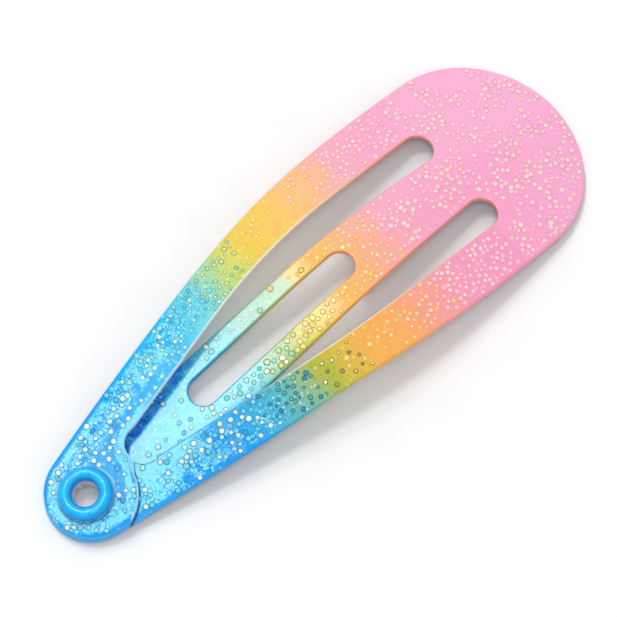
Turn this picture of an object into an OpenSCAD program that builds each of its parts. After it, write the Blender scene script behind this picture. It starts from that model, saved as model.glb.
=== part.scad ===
// Snap hair clip: one sheet of spring steel, stamped into a broad head with a
// slotted tongue and two side arms, whose tip lobes overlap and are held by an eyelet.
// X runs from the tip to the head, Y to the left arm, Z up from the surface it lies on.

/* [Plate] */
// Length of the clip from tip to head
clip_l = 50; // [40:0.5:70]
// Width of the clip at its widest place
clip_w = 17.2; // [15:0.1:22]
// Thickness of the painted sheet
plate_t = 0.55; // [0.4:0.05:0.8]
// Radius of the slight dome across the sheet
cross_r = 66; // [50:1:150]

/* [Outline] */
// Radius of the round tip
tip_r = 3.6; // [3.2:0.1:4.2]
// Radius of the two rounded shoulders of the head
corner_r = 7.2; // [5:0.1:8]
// Turn of the outline, in degrees, where a shoulder meets the end of the head
end_a = 48; // [40:1:60]
// Radius of the sides between the widest place and the shoulders
back_r = 190; // [60:1:250]
// Turn of the sides, in degrees, between the widest place and the shoulders
back_a = 1.7; // [1:0.1:4]

/* [Side arms] */
// Width of each side arm
arm_w = 3.35; // [2.8:0.05:4]
// Length of the solid head behind the side slots
head_l = 9.3; // [7:0.1:12]
// Width of each side slot at the head
slot_w = 2.4; // [2:0.05:3]
// Radius of the bend along the inner edge of each arm
inner_r = 66; // [30:1:90]
// Radius of the round end of the opening between the arms, near the tip
crotch_r = 1.4; // [1.2:0.05:1.6]
// Distance from the tip to the eyelet's centre
eyelet_x = 3; // [2.8:0.1:3.8]
// Radius of the lobes round the eyelet
lobe_r = 3.85; // [3.4:0.05:4.1]

/* [Tongue] */
// Width of the tongue where it leaves the head
root_w = 4.6; // [4:0.05:5]
// Width of the tongue at its widest place
tongue_w = 5.75; // [5.2:0.05:6.5]
// Distance from the tip to the widest place of the tongue
wide_x = 17; // [14:0.5:26]
// Distance from the tip to the end of the tongue
tongue_x = 6.2; // [6:0.1:8]
// Radius of the tongue's round end
tongue_end_r = 2.4; // [2:0.1:2.5]
// Width of the slot in the tongue
mid_slot_w = 2.3; // [1.8:0.05:2.8]
// Distance from the tip to the near end of that slot
mid_slot_x = 13.7; // [12:0.1:18]
// Solid length between that slot and the head's back edge
mid_slot_back = 20.35; // [16:0.05:24]
// Sideways place of that slot
mid_slot_y = 0.2; // [-0.3:0.05:0.3]

/* [Bow] */
// Slope of the head, in degrees, from the surface
head_a = 9.9; // [7:0.1:13]
// Radius of the bend along the arms
arm_bend_r = 41; // [35:1:60]
// Place of that bend towards the head from the middle of the clip
arm_bend_off = 0.9; // [-1:0.05:3]
// Radius of the bend along the tongue
tongue_bend_r = 42; // [35:1:65]
// Slope of the tongue's free end, in degrees
tongue_a = 8; // [6:0.5:8.5]
// Height of the tongue's end above the surface
tongue_lift = 0.1; // [0:0.05:0.3]

/* [Eyelet] */
// Diameter of the hole through the eyelet
bore_d = 2; // [1.6:0.1:2.4]
// Wall of the eyelet's barrel
barrel_t = 0.3; // [0.2:0.05:0.4]
// Diameter of the curled rim on top
rim_d = 4.1; // [4:0.1:4.6]
// Height of the curled rim
rim_h = 0.95; // [0.8:0.05:1.05]
// Diameter of the flat flange underneath
flange_d = 3.2; // [3:0.1:3.6]
// Thickness of the flat flange underneath
flange_t = 0.16; // [0.12:0.01:0.3]

/* [Clearances] */
// Gap between pieces that lie on each other
lay_gap = 0.04; // [0.02:0.01:0.1]
// Gap between the barrel and the holes in the lobes
hole_gap = 0.05; // [0.02:0.01:0.15]
// Gap between the head and the roots of the arms
root_gap = 0.08; // [0.04:0.01:0.2]

/* [Hidden] */

// Outline: tangent arcs from the tip to the head, each given by a radius and two headings
function arc_end(p, r, h0, h1) = p + r * [sin(h0) - sin(h1), cos(h1) - cos(h0)];
function arc_pts(p, r, h0, h1, n) = [for (i = [0:n - 1]) arc_end(p, r, h0, h0 + (h1 - h0) * i / n)];
function mirrored(pts) = concat(pts, [for (i = [len(pts) - 1:-1:0]) if (pts[i].y > 0) [pts[i].x, -pts[i].y]]);

shoulder_y = clip_w / 2 - back_r * (1 - cos(back_a));
cap_y = shoulder_y - corner_r * (cos(back_a) - cos(end_a));
cap_r = cap_y / cos(end_a);
widest_x = clip_l - back_r * sin(back_a) - corner_r * (sin(end_a) - sin(back_a)) - cap_r * (1 - sin(end_a));
// The sides turn from side_a at the tip through half_a to nothing at the widest place
half_a = atan((clip_w / 2 - tip_r) / (widest_x - tip_r));
side_a = 1.5 * half_a;
tip_end = arc_end([0, 0], tip_r, 90, side_a);
span = [widest_x, clip_w / 2] - tip_end;
// Two arcs fill that span: front_r near the tip, then side_r
front_t = [sin(side_a) - sin(half_a), cos(half_a) - cos(side_a)];
side_t = [sin(half_a), 1 - cos(half_a)];
det = front_t.x * side_t.y - front_t.y * side_t.x;
front_r = (span.x * side_t.y - span.y * side_t.x) / det;
side_r = (front_t.x * span.y - front_t.y * span.x) / det;
front_end = arc_end(tip_end, front_r, side_a, half_a);
back_start = [widest_x, clip_w / 2];
corner_start = arc_end(back_start, back_r, 0, -back_a);
cap_start = arc_end(corner_start, corner_r, -back_a, -end_a);

// Inner edge of an arm: a line along the front arc at arm_w from it, a bend, then straight
inner_a = (side_a + half_a) / 2;
inner_s = tan(inner_a);
inner_p = arc_end(tip_end, front_r, side_a, inner_a) + arm_w * [sin(inner_a), -cos(inner_a)];
inner_x0 = inner_p.x - inner_p.y / inner_s;
crotch_x = inner_x0 + crotch_r / sin(inner_a);
// The edges of each lobe run straight from its circle into the opening
neck_x = crotch_x - 0.75 * crotch_r;
neck_a = acos(lobe_r / (neck_x - eyelet_x));
neck_r = 0.95 * lobe_r;

// Places along the clip
slot_end_x = clip_l - head_l;
root_x = slot_end_x - slot_w / 2;
slot_y = root_w / 2 + slot_w / 2;
slot_out_y = root_w / 2 + slot_w;
mid_slot_end = clip_l - mid_slot_back;
side_bow = ((root_x - wide_x) ^ 2) / (tongue_w - root_w);

// Side view: every sheet follows the head's slope, one bend, and its own slope to the tip
head_s = tan(head_a);
right_bend_x = clip_l / 2 + arm_bend_off;
arm_s = head_s * (clip_l - right_bend_x) / right_bend_x;
arm_a = atan(arm_s);
stack = (plate_t + lay_gap) / cos(arm_a);
left_bend_x = right_bend_x - stack / (arm_s + head_s);
tongue_s = tan(tongue_a);
tongue_bend_x = (head_s * clip_l + tongue_s * tongue_x - tongue_lift) / (head_s + tongue_s);
// Height of the head's top skin at its back edge, where its underside touches the surface
base_z = plate_t / cos(head_a);
lobe_z = base_z + arm_s * eyelet_x + stack;

sheet_w = clip_w + 6;
reach = clip_l;
// The straight parts of a sheet start inside its bend, a hair under its skins, so that they join
join = 0.3;
join_inset = 0.005;
barrel_r = bore_d / 2 + barrel_t;
hole_r = barrel_r + hole_gap;
curl_r = (rim_d - bore_d) / 4;
inner_bend = inner_r * tan(inner_a / 2);
inner_end_x = inner_x0 + slot_out_y / inner_s + inner_bend;
grip = 2 * plate_t + lay_gap;

// Half outline of the clip from the tip to the head
function outline() = concat(
    arc_pts([0, 0], tip_r, 90, side_a, 14),
    arc_pts(tip_end, front_r, side_a, half_a, 8),
    arc_pts(front_end, side_r, half_a, 0, 12),
    arc_pts(back_start, back_r, 0, -back_a, 2),
    arc_pts(corner_start, corner_r, -back_a, -end_a, 14),
    arc_pts(cap_start, cap_r, -end_a, -90, 10),
    [[clip_l, 0]]);

// Half outline of the opening between the arms, from its round end to past the slots
function opening() = concat(
    [for (i = [0:10]) let (a = (90 + inner_a) * i / 10)
        [crotch_x - crotch_r * cos(a), crotch_r * sin(a)]],
    [for (i = [0:8]) let (h = inner_a * (1 - i / 8))
        [inner_end_x - inner_r * sin(h), slot_out_y - inner_r * (1 - cos(h))]],
    [[clip_l, slot_out_y], [clip_l, 0]]);

// Half width of the tongue at a place along the clip
function tongue_half(x) = tongue_w / 2 - ((x - wide_x) ^ 2) / (2 * side_bow);
tongue_cap_x = tongue_x + tongue_end_r;
tongue_cap_y = tongue_half(tongue_cap_x);

function tongue_side() = concat(
    [for (i = [0:10]) let (a = 90 * i / 10)
        [tongue_cap_x - tongue_end_r * cos(a), tongue_cap_y * sin(a)]],
    [for (i = [1:12]) let (x = tongue_cap_x + (root_x - tongue_cap_x) * i / 12) [x, tongue_half(x)]],
    [[root_x + 1, root_w / 2]]);

function stadium(x0, x1, y, w) = concat(
    [for (i = [0:16]) let (a = 90 + 180 * i / 16) [x0 + w / 2 * (1 + cos(a)), y + w / 2 * sin(a)]],
    [for (i = [0:16]) let (a = -90 + 180 * i / 16) [x1 - w / 2 * (1 - cos(a)), y + w / 2 * sin(a)]]);

module plan() { polygon(mirrored(outline())); }

// Everything on the tip's side of the roots, less the opening between the arms
module arms_plan() {
    difference() {
        intersection() {
            plan();
            translate([-1, -clip_w]) square([root_x - root_gap + 1, 2 * clip_w]);
        }
        polygon(mirrored(opening()));
    }
}

// One arm, on the side given by 1 or -1, with its whole round lobe at the tip
module arm_plan(side) {
    intersection() {
        arms_plan();
        union() {
            translate([-1, side > 0 ? 0 : -clip_w]) square([clip_l, clip_w]);
            translate([eyelet_x, 0]) circle(r = lobe_r, $fn = 72);
            polygon([
                [eyelet_x, 0],
                [eyelet_x + neck_r * cos(neck_a), -neck_r * sin(neck_a)],
                [neck_x, 0],
                [eyelet_x + neck_r * cos(neck_a), neck_r * sin(neck_a)]]);
        }
    }
}

module head_plan() {
    difference() {
        union() {
            intersection() {
                plan();
                translate([root_x, -clip_w]) square([clip_l, 2 * clip_w]);
            }
            polygon(mirrored(tongue_side()));
        }
        for (s = [-1, 1]) translate([root_x, s * slot_y]) circle(r = slot_w / 2, $fn = 48);
        polygon(stadium(mid_slot_x, mid_slot_end, mid_slot_y, mid_slot_w));
    }
}

// Section across a sheet whose top skin is inset from x = r, ready to be swept round z
module section(r, inset = 0) {
    intersection() {
        difference() {
            translate([r - cross_r, 0]) circle(r = cross_r - inset, $fn = 360);
            translate([r - cross_r, 0]) circle(r = cross_r - plate_t + inset, $fn = 360);
        }
        translate([r - plate_t - 3, -sheet_w / 2]) square([plate_t + 4, sheet_w]);
    }
}

// A sheet with the head's slope up to its bend at bend_x, and the slope tail_a beyond it
module bent_sheet(bend_x, bend_r, tail_a) {
    turn = head_a + tail_a;
    top = [bend_x, base_z + head_s * (clip_l - bend_x)];
    run = bend_r * tan(turn / 2);
    centre = top + [-run * cos(tail_a), -run * sin(tail_a)] + bend_r * [sin(tail_a), -cos(tail_a)];
    translate([centre.x, 0, centre.y]) rotate([90, 0, 0]) {
        rotate([0, 0, 90 - head_a]) rotate_extrude(angle = turn, $fn = 360) section(bend_r);
        rotate([0, 0, 90 - head_a]) rotate([90, 0, 0])
            translate([0, 0, -join]) linear_extrude(reach) section(bend_r, join_inset);
        rotate([0, 0, 90 + tail_a]) rotate([-90, 0, 0]) mirror([0, 1, 0])
            translate([0, 0, -join]) linear_extrude(reach) section(bend_r, join_inset);
    }
}

// Cut a sheet to a plan, with the clip centred over the origin
module stamped(bend_x, bend_r, tail_a) {
    translate([-clip_l / 2, 0, 0]) intersection() {
        bent_sheet(bend_x, bend_r, tail_a);
        translate([0, 0, -1]) linear_extrude(clip_l / 2) children();
    }
}

// Frame of the eyelet: its axis stands square to the lobes, from the top lobe's skin
module on_lobe() {
    translate([eyelet_x - clip_l / 2, 0, lobe_z]) rotate([0, -arm_a, 0]) children();
}

module lobe_hole() {
    on_lobe() translate([0, 0, -3]) cylinder(h = 6, r = hole_r, $fn = 64);
}

module head_and_tongue() {
    color("hotpink") stamped(tongue_bend_x, tongue_bend_r, tongue_a) head_plan();
}

module left_arm() {
    color("gold") difference() {
        stamped(left_bend_x, arm_bend_r, arm_a) arm_plan(1);
        lobe_hole();
    }
}

module right_arm() {
    color("deepskyblue") difference() {
        stamped(right_bend_x, arm_bend_r, arm_a) arm_plan(-1);
        lobe_hole();
    }
}

// Half section of the eyelet: barrel, round curled rim on top and flat flange underneath
module eyelet_section() {
    foot_z = -grip - lay_gap - flange_t;
    curl_z = lay_gap + rim_h - curl_r;
    difference() {
        union() {
            translate([0, foot_z]) square([barrel_r, curl_z - foot_z]);
            translate([0, foot_z]) square([flange_d / 2, flange_t]);
            intersection() {
                translate([bore_d / 2 + curl_r, curl_z]) circle(r = curl_r, $fn = 96);
                translate([0, lay_gap]) square([rim_d, 2 * rim_h]);
            }
        }
        translate([-1, -clip_l]) square([bore_d / 2 + 1, 2 * clip_l]);
    }
}

module eyelet() {
    color("dodgerblue") on_lobe() rotate_extrude($fn = 96) eyelet_section();
}

head_and_tongue();
left_arm();
right_arm();
eyelet();
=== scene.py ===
"""Looks of a snap hair clip in glossy glitter enamel, blue at the tip to pink at the head.

Plan sizes are in millimetres from the clip's tip, as the solids were drawn; meshes are made in metres.
"""

import math
import random

import bpy
import numpy as np
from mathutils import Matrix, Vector, noise
from mathutils.geometry import delaunay_2d_cdt


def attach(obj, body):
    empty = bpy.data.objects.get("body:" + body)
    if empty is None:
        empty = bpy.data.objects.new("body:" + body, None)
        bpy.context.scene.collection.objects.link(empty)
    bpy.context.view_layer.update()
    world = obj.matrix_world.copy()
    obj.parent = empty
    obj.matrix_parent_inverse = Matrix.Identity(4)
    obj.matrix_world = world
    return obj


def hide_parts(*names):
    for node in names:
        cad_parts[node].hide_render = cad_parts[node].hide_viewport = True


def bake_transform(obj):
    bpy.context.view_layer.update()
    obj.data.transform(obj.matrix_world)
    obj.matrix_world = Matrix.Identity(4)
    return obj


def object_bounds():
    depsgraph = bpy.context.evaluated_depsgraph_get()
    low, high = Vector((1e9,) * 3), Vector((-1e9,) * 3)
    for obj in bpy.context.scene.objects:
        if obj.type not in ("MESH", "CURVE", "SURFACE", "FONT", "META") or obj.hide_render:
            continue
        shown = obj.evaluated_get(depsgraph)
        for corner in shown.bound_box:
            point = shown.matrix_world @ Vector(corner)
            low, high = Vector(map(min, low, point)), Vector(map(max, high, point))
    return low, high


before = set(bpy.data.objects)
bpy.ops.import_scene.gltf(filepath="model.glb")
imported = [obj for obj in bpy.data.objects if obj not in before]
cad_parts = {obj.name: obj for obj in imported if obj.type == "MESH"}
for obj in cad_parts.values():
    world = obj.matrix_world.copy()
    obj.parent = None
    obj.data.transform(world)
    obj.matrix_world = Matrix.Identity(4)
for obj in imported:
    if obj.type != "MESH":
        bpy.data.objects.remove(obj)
cad_low, cad_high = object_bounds()

MM = 0.001

# Driving sizes, as in the solids
CLIP_L = round((cad_high.x - cad_low.x) / MM, 2)
CLIP_W = 17.2
PLATE_T = 0.55
CROSS_R = 66
TIP_R = 3.6
CORNER_R = 7.2
END_A = 48
BACK_R = 190
BACK_A = 1.7
ARM_W = 3.35
HEAD_L = 9.3
SLOT_W = 2.4
INNER_R = 66
CROTCH_R = 1.4
EYELET_X = 3.0
LOBE_R = 3.85
ROOT_W = 4.6
TONGUE_W = 5.75
WIDE_X = 17
TONGUE_X = 6.2
TONGUE_END_R = 2.4
MID_SLOT_W = 2.3
MID_SLOT_X = 13.7
MID_SLOT_BACK = 20.35
MID_SLOT_Y = 0.2
HEAD_A = 9.9
ARM_BEND_R = 41
ARM_BEND_OFF = 0.9
TONGUE_BEND_R = 42
TONGUE_A = 8
TONGUE_LIFT = 0.1
BORE_D = 2
BARREL_T = 0.3
RIM_D = 4.1
RIM_H = 0.95
FLANGE_D = 3.2
FLANGE_T = 0.16
LAY_GAP = 0.04
HOLE_GAP = 0.05
NECK_IN = 0.75
NECK_ROUND = 0.95
SIDE_TURN = 1.5
ARC_STEPS = 40
INNER_STEPS = 30
CIRCLE_STEPS = 48

# Finish of the sheet
EDGE_R = 0.16
EDGE_RINGS = 5
EDGE_FLAT = 0.05
EDGE_STEP = 0.28
HOLE_STEP = 0.2
OUTLINE_STEP = 0.1
GRID_STEP = 0.5
GRID_CLEAR = 0.6
HEX_ROW = 0.866
LEAST_SPREAD = 0.6
SLOPE_STEP = 0.05
TINY = 1e-6
WELD = 1e-7

# Glitter flakes
EDGE_CLEAR = 0.3
EYELET_CLEAR = 0.3
FLAKE_LIFT = 0.02
FLAKE_BEVEL = 0.4
FLAKE_LEAN = 3.0
FLAKE_RING = 0.84
FLAKE_FACE = 0.58
FLAKE_GLINT_SHARE = (0.84, 1.0)
FLAKE_UNEVEN = (0.86, 1.12)
TRIES_EACH = 30
CLUMP_SWING = 0.7
CLUMP_SHIFT = 7.3
STRAY_SHARE = 0.06

# Turned shell of the eyelet
EYELET_SIDES = 96
BORE_RINGS = 10
CURL_RINGS = 40
CURL_START = 8
PAINTED_RINGS = 2
FOOT_BEVEL = 0.08
FOOT_STEP = 0.2
BARREL_STEP = 0.05
BARREL_CLEAR = 0.02
FLANGE_EDGE = ((0.05, 1.0), (0.0, 0.6), (0.02, 0.2), (0.12, 0.0))


def sin(angle):
    return math.sin(math.radians(angle))


def cos(angle):
    return math.cos(math.radians(angle))


def tan(angle):
    return math.tan(math.radians(angle))


def linear(code):
    """A colour code such as 1E9BFF as linear RGBA."""
    parts = [int(code[i : i + 2], 16) / 255 for i in (0, 2, 4)]
    return [p / 12.92 if p <= 0.04045 else ((p + 0.055) / 1.055) ** 2.4 for p in parts] + [1.0]


# Plan of the clip: tangent arcs, each given by a radius and two headings


def arc_end(start, radius, h0, h1):
    return np.array(start) + radius * np.array([sin(h0) - sin(h1), cos(h1) - cos(h0)])


def arc_run(start, radius, h0, h1, steps):
    return [arc_end(start, radius, h0, h0 + (h1 - h0) * i / steps) for i in range(steps)]


shoulder_y = CLIP_W / 2 - BACK_R * (1 - cos(BACK_A))
cap_y = shoulder_y - CORNER_R * (cos(BACK_A) - cos(END_A))
cap_r = cap_y / cos(END_A)
widest_x = (
    CLIP_L - BACK_R * sin(BACK_A) - CORNER_R * (sin(END_A) - sin(BACK_A)) - cap_r * (1 - sin(END_A))
)
half_a = math.degrees(math.atan((CLIP_W / 2 - TIP_R) / (widest_x - TIP_R)))
side_a = SIDE_TURN * half_a
tip_end = arc_end([0, 0], TIP_R, 90, side_a)
span = np.array([widest_x, CLIP_W / 2]) - tip_end
arc_shares = np.array(
    [
        [sin(side_a) - sin(half_a), sin(half_a)],
        [cos(half_a) - cos(side_a), 1 - cos(half_a)],
    ]
)
front_r, side_r = np.linalg.solve(arc_shares, span)
inner_a = (side_a + half_a) / 2
inner_s = tan(inner_a)
inner_p = arc_end(tip_end, front_r, side_a, inner_a) + ARM_W * np.array([sin(inner_a), -cos(inner_a)])
inner_x0 = inner_p[0] - inner_p[1] / inner_s
crotch_x = inner_x0 + CROTCH_R / sin(inner_a)
neck_x = crotch_x - NECK_IN * CROTCH_R
neck_a = math.degrees(math.acos(LOBE_R / (neck_x - EYELET_X)))
neck_r = NECK_ROUND * LOBE_R
root_x = CLIP_L - HEAD_L - SLOT_W / 2
slot_y = ROOT_W / 2 + SLOT_W / 2
slot_out_y = ROOT_W / 2 + SLOT_W
mid_slot_end = CLIP_L - MID_SLOT_BACK
side_bow = (root_x - WIDE_X) ** 2 / (TONGUE_W - ROOT_W)
inner_end_x = inner_x0 + slot_out_y / inner_s + INNER_R * tan(inner_a / 2)
hole_r = BORE_D / 2 + BARREL_T + HOLE_GAP


def half_outline():
    """The clip's left edge from the tip to the middle of the head."""
    front_end = arc_end(tip_end, front_r, side_a, half_a)
    back_start = np.array([widest_x, CLIP_W / 2])
    corner_start = arc_end(back_start, BACK_R, 0, -BACK_A)
    cap_start = arc_end(corner_start, CORNER_R, -BACK_A, -END_A)
    arcs = (  # start, radius, first heading, last heading, steps
        ([0, 0], TIP_R, 90, side_a, 40),
        (tip_end, front_r, side_a, half_a, 16),
        (front_end, side_r, half_a, 0, 24),
        (back_start, BACK_R, 0, -BACK_A, 12),
        (corner_start, CORNER_R, -BACK_A, -END_A, 30),
        (cap_start, cap_r, -END_A, -90, 30),
    )
    points = [point for arc in arcs for point in arc_run(*arc)]
    return np.array(points + [np.array([CLIP_L, 0.0])])


outer_edge = half_outline()
root_side_y = float(np.interp(root_x, outer_edge[:, 0], outer_edge[:, 1]))


def tongue_half(x):
    return TONGUE_W / 2 - (x - WIDE_X) ** 2 / (2 * side_bow)


def resample(points, step):
    """A run of points at even steps, with its first point and without its last."""
    points = np.array(points, float)
    ahead = np.concatenate([[0], np.cumsum(np.linalg.norm(np.diff(points, axis=0), axis=1))])
    count = max(1, round(ahead[-1] / step))
    at = np.linspace(0, ahead[-1], count + 1)[:-1]
    return np.c_[np.interp(at, ahead, points[:, 0]), np.interp(at, ahead, points[:, 1])]


def closed_loop(runs, step=EDGE_STEP):
    return np.concatenate([resample(run, step) for run in runs])


def circle_points(x, y, radius, a0, a1):
    turns = [a0 + (a1 - a0) * i / CIRCLE_STEPS for i in range(CIRCLE_STEPS + 1)]
    return [[x + radius * cos(a), y + radius * sin(a)] for a in turns]


def crossing(start, end, centre, radius):
    """Where the line from start first meets the circle."""
    start, end, centre = (np.array(p, float) for p in (start, end, centre))
    along, off = end - start, start - centre
    a, b, c = along @ along, 2 * off @ along, off @ off - radius**2
    roots = np.roots([a, b, c]).real
    share = min(r for r in roots if r > -TINY)
    return start + share * along


def left_arm_loop():
    """The left arm's edge, with the material on its left hand."""
    arm_side = outer_edge[outer_edge[:, 0] < root_x]
    way = np.concatenate([[[root_x, root_side_y]], arm_side[::-1], arm_side[1:] * [1, -1]])
    centre = np.array([EYELET_X, 0.0])
    below = [i for i in range(len(way)) if way[i][1] < 0 and way[i][0] > EYELET_X]
    first_out = next(i for i in below if np.linalg.norm(way[i] - centre) > LOBE_R)
    a, b = way[first_out - 1], way[first_out]
    da, db = np.linalg.norm(a - centre) - LOBE_R, np.linalg.norm(b - centre) - LOBE_R
    seam_start = a + (b - a) * da / (da - db)
    neck_in = centre + neck_r * np.array([cos(neck_a), -sin(neck_a)])
    neck_tip = np.array([neck_x, 0.0])
    seam_end = crossing(neck_tip, neck_in, centre, LOBE_R)
    crotch = np.array([crotch_x, 0.0])
    corner = crossing(seam_end, neck_tip, crotch, CROTCH_R)
    a0 = math.degrees(math.atan2(seam_start[1], seam_start[0] - EYELET_X))
    a1 = math.degrees(math.atan2(seam_end[1], seam_end[0] - EYELET_X))
    corner_a = 180 - math.degrees(math.atan2(corner[1], corner[0] - crotch_x)) % 360
    turns = [corner_a + (90 + inner_a - corner_a) * i / ARC_STEPS for i in range(ARC_STEPS + 1)]
    inner = [[crotch_x - CROTCH_R * cos(a), CROTCH_R * sin(a)] for a in turns]
    inner += [
        [inner_end_x - INNER_R * sin(h), slot_out_y - INNER_R * (1 - cos(h))]
        for h in np.linspace(inner_a, 0, INNER_STEPS)
    ]
    inner += [[root_x, slot_out_y]]
    return closed_loop(
        [
            np.concatenate([way[:first_out], [seam_start]]),
            circle_points(EYELET_X, 0, LOBE_R, a0, a1),
            [seam_end, corner],
            inner,
            [[root_x, slot_out_y], [root_x, root_side_y]],
        ]
    )


LEFT_EDGE = left_arm_loop()


def head_loop():
    """The edge of the head and tongue."""
    head_side = outer_edge[outer_edge[:, 0] > root_x]
    upper = np.concatenate([head_side[::-1], [[root_x, root_side_y]]])
    lower = np.concatenate([[[root_x, -root_side_y]], head_side * [1, -1]])
    cap_x = TONGUE_X + TONGUE_END_R
    side_x = np.linspace(root_x, cap_x, ARC_STEPS)
    tongue_up = np.c_[side_x, tongue_half(side_x)]
    turns = np.linspace(90, -90, ARC_STEPS + 1)
    cap = [[cap_x - TONGUE_END_R * cos(a), tongue_half(cap_x) * sin(a)] for a in turns]
    return closed_loop(
        [
            lower,
            upper,
            [[root_x, root_side_y], [root_x, slot_out_y]],
            circle_points(root_x, slot_y, SLOT_W / 2, 90, -90),
            tongue_up,
            cap,
            (tongue_up * [1, -1])[::-1],
            circle_points(root_x, -slot_y, SLOT_W / 2, 90, -90),
            [[root_x, -slot_out_y], [root_x, -root_side_y]],
        ]
    )


def mid_slot_loop():
    radius = MID_SLOT_W / 2
    near, far = MID_SLOT_X + radius, mid_slot_end - radius
    around_far = circle_points(far, MID_SLOT_Y, radius, 90, -90)
    around_near = circle_points(near, MID_SLOT_Y, radius, -90, -270)
    return closed_loop(
        [around_far, [around_far[-1], around_near[0]], around_near, [around_near[-1], around_far[0]]],
        step=HOLE_STEP,
    )


def lobe_hole_loop():
    return closed_loop([circle_points(EYELET_X, 0, hole_r, 360, 0)], step=HOLE_STEP)


# Side view: each sheet has the head's slope, one bend and its own slope towards the tip


def bent_sheet(bend_x, bend_r, tail_a):
    turn = HEAD_A + tail_a
    top = np.array([bend_x, base_z + head_s * (CLIP_L - bend_x)])
    run = bend_r * tan(turn / 2)
    tangent_point = top - run * np.array([cos(tail_a), sin(tail_a)])
    centre = tangent_point + bend_r * np.array([sin(tail_a), -cos(tail_a)])
    return {"centre": centre, "radius": bend_r, "tail": tail_a}


head_s = tan(HEAD_A)
base_z = PLATE_T / cos(HEAD_A)
right_bend_x = CLIP_L / 2 + ARM_BEND_OFF
arm_s = head_s * (CLIP_L - right_bend_x) / right_bend_x
arm_a = math.degrees(math.atan(arm_s))
stack = (PLATE_T + LAY_GAP) / cos(arm_a)
left_bend_x = right_bend_x - stack / (arm_s + head_s)
tongue_s = tan(TONGUE_A)
tongue_bend_x = (head_s * CLIP_L + tongue_s * TONGUE_X - TONGUE_LIFT) / (head_s + tongue_s)
lobe_z = base_z + arm_s * EYELET_X + stack

LEFT_SHEET = bent_sheet(left_bend_x, ARM_BEND_R, arm_a)
RIGHT_SHEET = bent_sheet(right_bend_x, ARM_BEND_R, arm_a)
TONGUE_SHEET = bent_sheet(tongue_bend_x, TONGUE_BEND_R, TONGUE_A)


def skin(sheet, x, y, depth=0.0):
    """Height of the surface that lies a depth under a domed, bent sheet's top skin."""
    x, y = np.asarray(x, float), np.asarray(y, float)
    drop = CROSS_R - np.sqrt((CROSS_R - depth) ** 2 - y**2)
    radius = sheet["radius"] - drop
    cx, cz = sheet["centre"]
    tail = sheet["tail"]
    tail_line = cz + radius / cos(tail) + (x - cx) * tan(tail)
    head_line = cz + radius / cos(HEAD_A) - (x - cx) * head_s
    round_top = cz + np.sqrt(np.maximum(radius**2 - (x - cx) ** 2, 0))
    z = np.where(x < cx - radius * sin(tail), tail_line, round_top)
    return np.where(x > cx + radius * sin(HEAD_A), head_line, z)


def skin_normal(sheet, x, y):
    step = SLOPE_STEP
    slope_x = (skin(sheet, x + step, y) - skin(sheet, x - step, y)) / (2 * step)
    slope_y = (skin(sheet, x, y + step) - skin(sheet, x, y - step)) / (2 * step)
    return Vector((-slope_x, -slope_y, 1)).normalized()


# Mesh of a sheet with rounded edges, from the loops of its plan


def at_split(points):
    """Which points lie on the cut between the head and an arm."""
    on_line = np.abs(points[:, 0] - root_x) < TINY
    return on_line & (np.abs(points[:, 1]) > slot_out_y - TINY)


def inward(points):
    """For each point of a loop, the step into the material for one unit of inset."""
    back = points - np.roll(points, 1, axis=0)
    ahead = np.roll(points, -1, axis=0) - points
    normals = []
    for edge in (back, ahead):
        left = np.c_[-edge[:, 1], edge[:, 0]]
        normals.append(left / np.linalg.norm(left, axis=1)[:, None])
    middle = normals[0] + normals[1]
    middle /= np.linalg.norm(middle, axis=1)[:, None]
    spread = np.maximum((middle * normals[0]).sum(axis=1), LEAST_SPREAD)
    steps = middle / spread[:, None]
    cut = at_split(points)
    share = (np.abs(points[cut, 1]) - slot_out_y) / (root_side_y - slot_out_y)
    steps[cut] = np.c_[np.zeros(cut.sum()), np.sign(points[cut, 1]) * (1 - 2 * share)]
    return steps


def inside(points, loops):
    """Whether each point lies in the material, by counting the loops' edges beside it."""
    hits = np.zeros(len(points), int)
    for loop in loops:
        a, b = loop, np.roll(loop, -1, axis=0)
        for (ax, ay), (bx, by) in zip(a, b):
            if ay == by:
                continue
            between = (ay > points[:, 1]) != (by > points[:, 1])
            x_there = ax + (points[:, 1] - ay) / (by - ay) * (bx - ax)
            hits += between & (points[:, 0] < x_there)
    return hits % 2 == 1


def nearest(points, loops):
    """Distance from each point to the nearest point of the loops."""
    ends = np.concatenate(loops)
    return np.min(np.linalg.norm(points[:, None, :] - ends[None, :, :], axis=2), axis=1)


def hex_grid(loops, step):
    """Free points inside the loops, in staggered rows."""
    every = np.concatenate(loops)
    low, high = every.min(axis=0), every.max(axis=0)
    rows = []
    for i, y in enumerate(np.arange(low[1], high[1], step * HEX_ROW)):
        xs = np.arange(low[0] + (i % 2) * step / 2, high[0], step)
        rows.append(np.c_[xs, np.full(len(xs), y)])
    points = np.concatenate(rows)
    points = points[inside(points, loops)]
    return points[nearest(points, loops) > GRID_CLEAR * step]


def triangles(points, loops):
    """Triangles over the material between the loops' points and the free points after them."""
    edges, start = [], 0
    for loop in loops:
        count = len(loop)
        edges += [(start + i, start + (i + 1) % count) for i in range(count)]
        start += count
    found = delaunay_2d_cdt([Vector(p) for p in points], edges, [], 0, WELD)
    coords = np.array([tuple(v) for v in found[0]])
    source = [ids[0] for ids in found[3]]
    faces = np.array([f for f in found[2] if len(f) == 3])
    middles = coords[faces].mean(axis=1)
    kept = faces[inside(middles, loops)]
    return [[source[i] for i in face] for face in kept]


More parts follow.
